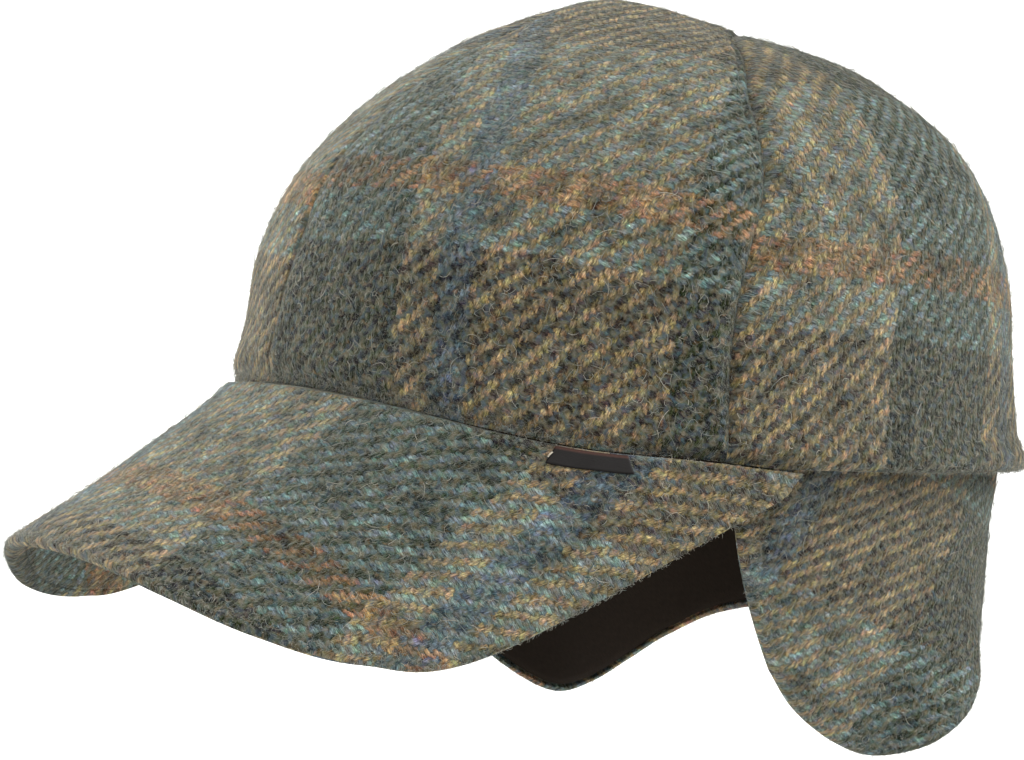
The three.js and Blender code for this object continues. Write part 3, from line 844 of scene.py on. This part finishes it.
def flap_point(share, drop, sink, low=0, front=0, top=0):
    """Point of the band: share from -1 over the nape to 1 at the left front edge, drop from top to low
    edge, sunk inwards. It follows the hem's section, leans in, swells under the hem and flares out at the
    lobe."""
    row = flap_row((1 - np.abs(share)) * (1 - front) + front)
    z = mix(FLAP_TOP - top, -(row[..., 2] - low), drop)
    angle = np.where(share < 0, -1, 1) * mix(row[..., 0], row[..., 1], drop ** FLAP_SWEEP)
    wall = crown_row(1 - np.maximum(z, 0) / HEM_SCALE)
    middle = (wall[..., 2] + wall[..., 3]) / 2
    reach = (wall[..., 3] - wall[..., 2]) / 2
    below = np.maximum(-z, 0)
    belly = below / FLAP_BELLY["reach"]
    hung = FLAP_BELLY["out"] * np.exp(-belly) * belly - FLAP_LEAN * below
    flare = row[..., 3] * (below / row[..., 2]) ** FLARE_POWER
    offset = hung + flare - TWEED - FOLD["thick"] - SEAT - sink
    normal = unit(np.stack([np.sin(angle) / wall[..., 1], -np.cos(angle) / reach], -1))
    x = wall[..., 1] * np.sin(angle) + offset * normal[..., 0]
    y = middle - reach * np.cos(angle) + offset * normal[..., 1]
    return np.stack([x, y, z], -1)


def flap_walk(share, drop):
    """Arc round the hem from the left front corner of the band."""
    row = flap_row(1 - np.abs(share))
    angle = mix(row[..., 0], row[..., 1], drop ** FLAP_SWEEP)
    angle = np.where(share < 0, 2 * np.pi - angle, angle)
    turn = np.linspace(FLAP_ROWS[0, 0], 2 * np.pi - FLAP_ROWS[0, 0], FLAP_STEPS["arc"])
    line = crown_skin(on_disk(turn, np.ones_like(turn)))
    return np.interp(angle, turn, walked(line))


def flap_border(grid):
    """Distance of each grid point from the nearer of the band's front and low borders, and the way round
    the band to it, both along the grid."""
    run = walked(grid)
    fall = walked(grid, 1)
    front = np.minimum(run, run[-1:] - run)
    return np.minimum(front, fall[:, -1:] - fall), run


def eased(steps, ends):
    """Places from 0 to 1 that crowd towards the ends named, both or high: even steps blended with a smooth
    step or a quarter sine wave."""
    even = np.linspace(0, 1, steps + 1)
    curve = smooth(even, 0, 1) if ends == "both" else np.sin(even * np.pi / 2)
    return mix(even, curve, FLAP_EASE[ends])


round_nape = 2 * eased(FLAP_STEPS["round"], "both") - 1
share, drop = np.meshgrid(round_nape, eased(FLAP_STEPS["down"], "high"), indexing="ij")
bare = flap_point(share, drop, np.zeros_like(share))
border, run = flap_border(bare)
across, up = flap_walk(share, drop), bare[..., 2]
turned = rounding(border, FLAP_THICK)
swell = FLAP_SWELL["share"] * cloth_swell(across, up)
swell = swell * smooth(border, *FLAP_SWELL["border"]) * smooth(-up, *FLAP_SWELL["hem"])
outer = flap_point(share, drop, turned - swell)
inner = flap_point(share, drop, np.where(border < FLAP_RIM, FLAP_THICK - turned, TWEED - swell))
cloth = laid(across, up, "earflap")
flap = cloth_wall("earflap_cloth", outer, inner, cloth, laid(across, up - FLAP_THICK, "earflap"), tweed)
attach(flap, "root")
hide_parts("earflap")
nap = wool_fibres("earflap_nap", outer, cloth, NAP_COUNT, NAP_SEEDS["earflap"], NAP, wool)
rows = FLAP_FUZZ["rows"]
low = wool_fibres("earflap_low_fuzz", outer[:, -rows:], cloth[:, -rows:], *FLAP_FUZZ["low"], FUZZ, wool)
right = wool_fibres("earflap_right_fuzz", outer[:rows], cloth[:rows], *FLAP_FUZZ["right"], FUZZ, wool)
left = wool_fibres("earflap_left_fuzz", outer[-rows:], cloth[-rows:], *FLAP_FUZZ["left"], FUZZ, wool)
for hair in (nap, low, right, left):
    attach(hair, "root")


def dark_lining():
    """Brushed cotton lining, near black brown. It gives the eye a dull short nap with a faint slanting
    grain."""
    material, tree = bare_material("brushed_cotton_lining")
    cloth = add(tree, "ShaderNodeUVMap", uv_map="cloth")
    grain = add(tree, "ShaderNodeMapping", {
        "Vector": cloth, "Rotation": (0, 0, 0.7), "Scale": (0.4, 2.2, 1)}, vector_type="TEXTURE")
    nap = add(tree, "ShaderNodeTexNoise", {"Vector": grain, "Scale": 1.4, "Detail": 3.0})
    tone = add(tree, "ShaderNodeMix", {0: nap, 6: colour("#15110E"), 7: colour("#30271F")}, **BLEND)
    bump = add(tree, "ShaderNodeBump", {"Height": nap, "Strength": 0.6, "Distance": 0.0004})
    look = add(tree, "ShaderNodeBsdfPrincipled", {
        "Base Color": tone, "Roughness": 0.92, "Specular IOR Level": 0.15, "Sheen Weight": 0.06,
        "Sheen Roughness": 0.5, "Sheen Tint": colour("#8C7F70"), "Normal": bump})
    add(tree, "ShaderNodeOutputMaterial", {0: look})
    return material


lining_cloth = dark_lining()
round_nape = np.linspace(-1, 1, LINING_STEPS["round"] + 1)
share, drop = np.meshgrid(round_nape, np.linspace(0, 1, LINING_STEPS["down"] + 1), indexing="ij")
bare = flap_point(share, drop, np.zeros_like(share), **LINING_INSET)
border, run = flap_border(bare)
cloth = np.stack([run, bare[..., 2]], -1)
puff = LINING_PUFF["out"] * (smooth(border, 0, LINING_PUFF["reach"]) - 1)
outer = flap_point(share, drop, np.full_like(share, TWEED + SEAT), **LINING_INSET)
inner = flap_point(share, drop, TWEED + SEAT + LINING + puff, **LINING_INSET)
lining = cloth_wall("earflap_lining_cloth", outer, inner, cloth, cloth, lining_cloth)
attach(lining, "root")
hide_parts("earflap_lining")


# Tab: a small folded piece of dark brown satin ribbon, left bare, caught beside the seam between visor and
# crown on the wearer's left and held at its front end by one pale stitch.
TAB = {
    # angles round the seam from end to end, how far each end moves on down the ribbon, its sizes, and
    # the radius that turns its angles into lengths of thread
    "from": 0.955, "to": 1.119, "spread": (0.012, 0.051),
    "start": 0.4, "width": 5.4, "lift": 0.45, "thick": 0.7, "wave": 0.12, "waves": 60,
    "radius": 100, "steps": (41, 19),
}
STITCH = {
    "angle": 0.9615, "from": 2.6, "to": 4.1, "radius": 0.2,
    "rise": 0.35, "sink": 0.05, "step": 0.4, "rings": 9,
}


def tab_point(angle, down, lift):
    """Point over the visor at an angle round the seam, a distance down from it and a lift off the
    cloth."""
    share = angle / VISOR_ANGLE
    ends = visor_skin(np.stack([share, share], -1), np.broadcast_to([0.0, 1.0], share.shape + (2,)))
    length = np.linalg.norm(ends[..., 1, :] - ends[..., 0, :], axis=-1)
    reach = down / length
    return visor_skin(share, reach) - visor_through(share, reach) * lift[..., None]


def brown_satin():
    """Woven satin ribbon, brown black. It gives the eye fine cross threads, a soft sheen and a redder
    folded edge."""
    material, tree = bare_material("brown_satin_ribbon")
    cloth = add(tree, "ShaderNodeUVMap", uv_map="cloth")
    thread = add(tree, "ShaderNodeMapping", {"Vector": cloth, "Scale": (0.8, 0.22, 1)}, vector_type="TEXTURE")
    thread = add(tree, "ShaderNodeTexNoise", {"Vector": thread, "Scale": 1.0, "Detail": 2.0})
    down = add(tree, "ShaderNodeSeparateXYZ", {0: cloth}, out=1)
    fold = add(tree, "ShaderNodeMapRange", {"Value": down, "From Min": 1.3, "From Max": 0.8})
    base = add(tree, "ShaderNodeMix", {0: thread, 6: colour("#080605"), 7: colour("#15100E")}, **BLEND)
    edge = add(tree, "ShaderNodeMix", {0: thread, 6: colour("#26150F"), 7: colour("#50332A")}, **BLEND)
    tone = add(tree, "ShaderNodeMix", {0: fold, 6: base, 7: edge}, **BLEND)
    bump = add(tree, "ShaderNodeBump", {"Height": thread, "Strength": 0.5, "Distance": 0.0002})
    look = add(tree, "ShaderNodeBsdfPrincipled", {
        "Base Color": tone, "Roughness": 0.55, "Specular IOR Level": 0.25, "Normal": bump})
    add(tree, "ShaderNodeOutputMaterial", {0: look})
    return material


satin = brown_satin()
along = np.linspace(TAB["to"], TAB["from"], TAB["steps"][0])
angle, down = np.meshgrid(along, np.linspace(0, TAB["width"], TAB["steps"][1]), indexing="ij")
angle = angle + mix(*TAB["spread"], smooth(angle, TAB["from"], TAB["to"])) * down / TAB["width"]
from_end = np.minimum(down, TAB["width"] - down)
plump = TAB["thick"] / 2 - rounding(from_end, TAB["thick"])
half = TAB["lift"] + TAB["thick"] / 2
wave = TAB["wave"] * np.sin(angle * TAB["waves"]) * smooth(down, 0, TAB["width"])
outer = tab_point(angle, TAB["start"] + down, half + plump + wave)
inner = tab_point(angle, TAB["start"] + down, half - plump + wave)
cloth = np.stack([angle * TAB["radius"], down], -1)
tab = cloth_wall("label_tab_satin", outer, inner, cloth, cloth, satin)
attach(tab, "root")
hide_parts("label_tab")


def pale_thread():
    """Sewing cotton, cream. It gives the eye a dull round twisted thread."""
    material, tree = bare_material("cream_sewing_cotton")
    cloth = add(tree, "ShaderNodeUVMap", uv_map="cloth")
    twist = add(tree, "ShaderNodeTexWave", {"Vector": cloth, "Scale": 1.2, "Distortion": 0.5}, out=1,
                bands_direction="DIAGONAL")
    tone = add(tree, "ShaderNodeMix", {0: twist, 6: colour("#9C9382"), 7: colour("#DED6C4")}, **BLEND)
    look = add(tree, "ShaderNodeBsdfPrincipled", {"Base Color": tone, "Roughness": 0.85})
    add(tree, "ShaderNodeOutputMaterial", {0: look})
    return material


def thread_tube(name, path, radius, step, material):
    """Thread along a path: a six-sided ring at each point, square to the path, closed by a fan at each end.
    Each ring is a step further along the thread's own map."""
    forward = unit(np.gradient(path, axis=0))
    cross = unit(np.cross(forward, [0, 0, 1.0]))
    rise = np.cross(cross, forward)
    turn = np.arange(6) * np.pi / 3
    ring = np.cos(turn)[:, None] * cross[:, None] + np.sin(turn)[:, None] * rise[:, None]
    points = np.concatenate([(path[:, None] + radius * ring).reshape(-1, 3), path[:1], path[-1:]])
    index = np.arange(len(path) * 6).reshape(-1, 6)
    after = np.roll(index, -1, 1)
    quads = np.stack([index[:-1], after[:-1], after[1:], index[1:]], -1).reshape(-1, 4)
    start = np.stack([np.full(6, len(points) - 2), after[0], index[0]], -1)
    end = np.stack([np.full(6, len(points) - 1), index[-1], after[-1]], -1)
    length = np.concatenate([np.repeat(np.arange(len(path)) * step, 6), [0, len(path) * step]])
    places = np.stack([length, np.zeros_like(length)], -1)
    return piece_of(name, points, quads, np.concatenate([start, end]), places, material)


walk = np.linspace(0, 1, STITCH["rings"])
lift = TAB["lift"] + TAB["thick"] + STITCH["rise"] * np.sin(np.pi * walk) - STITCH["sink"]
path = tab_point(np.full_like(walk, STITCH["angle"]), mix(STITCH["from"], STITCH["to"], walk), lift)
stitch = thread_tube("label_tab_stitch", path, STITCH["radius"], STITCH["step"], pale_thread())
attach(stitch, "root")


# Studio: a pale sweep of paper behind and below the cap, which is held in the air by its head opening,
# under soft light. Lengths here are metres.
FLOOR = {"height": -0.16, "near": 1.6, "far": 1.5, "bend": 1.2, "steps": 25, "top": 3.2, "half": 4.5}
VIEW = {"azimuth": 60.02, "elevation": 0.9, "roll": 2.83, "distance": 1.0, "aim": (-0.0135, -0.0235, 0.0161)}
LENS = {"focal_px": 4065.3, "image_px": 1024, "sensor_mm": 36.0}


def way_to(turn, height):
    """Direction of an azimuth, counted from the front to the wearer's left, and an elevation."""
    return np.array([np.sin(turn) * np.cos(height), -np.cos(turn) * np.cos(height), np.sin(height)])


def stand(name, data, right, above, back, place):
    """Camera or light at a place, turned to its own three axes. It looks away from its back."""
    thing = bpy.data.objects.new(name, data)
    bpy.context.scene.collection.objects.link(thing)
    pose = np.eye(4)
    pose[:3] = np.stack([right, above, back, place], 1)
    thing.matrix_world = pose.T.tolist()
    return thing


azimuth, elevation, roll = np.radians([VIEW[key] for key in ("azimuth", "elevation", "roll")])
back = way_to(azimuth, elevation)
level = np.array([np.cos(azimuth), np.sin(azimuth), 0])
upright = np.cross(back, level)
right = np.cos(roll) * level + np.sin(roll) * upright
above = np.cos(roll) * upright - np.sin(roll) * level
place = np.array(VIEW["aim"]) + VIEW["distance"] * back
camera = stand("camera", bpy.data.cameras.new("camera"), right, above, back, place)
camera.data.sensor_width = LENS["sensor_mm"]
camera.data.lens = LENS["focal_px"] / LENS["image_px"] * LENS["sensor_mm"]
camera.data.clip_end = 50
bpy.context.scene.camera = camera


def sweep_paper():
    """Matt white paper, pale and even."""
    material = bpy.data.materials.new("white_paper")
    material.use_nodes = True
    look = material.node_tree.nodes["Principled BSDF"]
    look.inputs["Base Color"].default_value = colour("#DCDCDA")
    look.inputs["Roughness"].default_value = 1.0
    return material


turn = np.linspace(0, np.pi / 2, FLOOR["steps"])
wall = FLOOR["far"] + FLOOR["bend"]
run = np.concatenate([[-FLOOR["near"]], FLOOR["far"] + FLOOR["bend"] * np.sin(turn), [wall]])
rise = np.concatenate([[0], FLOOR["bend"] * (1 - np.cos(turn)), [FLOOR["top"]]]) + FLOOR["height"]
flat_back = -way_to(azimuth, 0)
profile = run[:, None] * flat_back + rise[:, None] * [0, 0, 1]
edges = profile[:, None] + np.array([-1, 1])[:, None] * FLOOR["half"] * level
index = np.arange(len(profile) * 2).reshape(-1, 2)
quads = np.stack([index[:-1, 0], index[:-1, 1], index[1:, 1], index[1:, 0]], -1)
flat = np.zeros((len(profile) * 2, 2))
none = np.zeros((0, 3), int)
paper = piece_of("paper_sweep", edges.reshape(-1, 3) * 1000, quads, none, flat, sweep_paper())

WORLD_LIGHT = 0.1
world = bpy.data.worlds.new("studio")
bpy.context.scene.world = world
world.use_nodes = True
world.node_tree.nodes["Background"].inputs["Color"].default_value = (1, 1, 1, 1)
world.node_tree.nodes["Background"].inputs["Strength"].default_value = WORLD_LIGHT

SOFTBOXES = {
    # watts, size, distance, azimuth and elevation from the cap
    "left_behind": (72, 1.4, 2.0, -70, 17),
    "left_front": (10, 1.4, 2.0, 10, 22),
    "right": (45, 1.4, 2.0, 150, 44),
    "front": (21, 1.4, 2.0, 60, 30),
    "top": (2, 1.6, 1.8, 60, 88),
}
PAPER_LIGHT = {"watts": 72, "size": 1.6, "behind": 0.5, "up": 1.9, "tilt": 14}


def softbox(name, power, size, place, turn, height):
    """Square soft light, at a place or at a distance from the middle of the cap. It shines away from the
    azimuth and elevation that its back faces."""
    lamp = bpy.data.lights.new(name, "AREA")
    lamp.energy = power
    lamp.size = size
    level = np.array([np.cos(turn), np.sin(turn), 0])
    back = way_to(turn, height)
    place = back * place if np.isscalar(place) else place
    stand(name, lamp, level, np.cross(back, level), back, place)


for name, (power, size, distance, turn, height) in SOFTBOXES.items():
    softbox(name, power, size, distance, *np.radians([turn, height]))
over_paper = PAPER_LIGHT["behind"] * flat_back + [0, 0, PAPER_LIGHT["up"]]
tilt = np.radians(PAPER_LIGHT["tilt"])
softbox("paper", PAPER_LIGHT["watts"], PAPER_LIGHT["size"], over_paper, azimuth, tilt)

bpy.context.scene.view_settings.view_transform = "Standard"
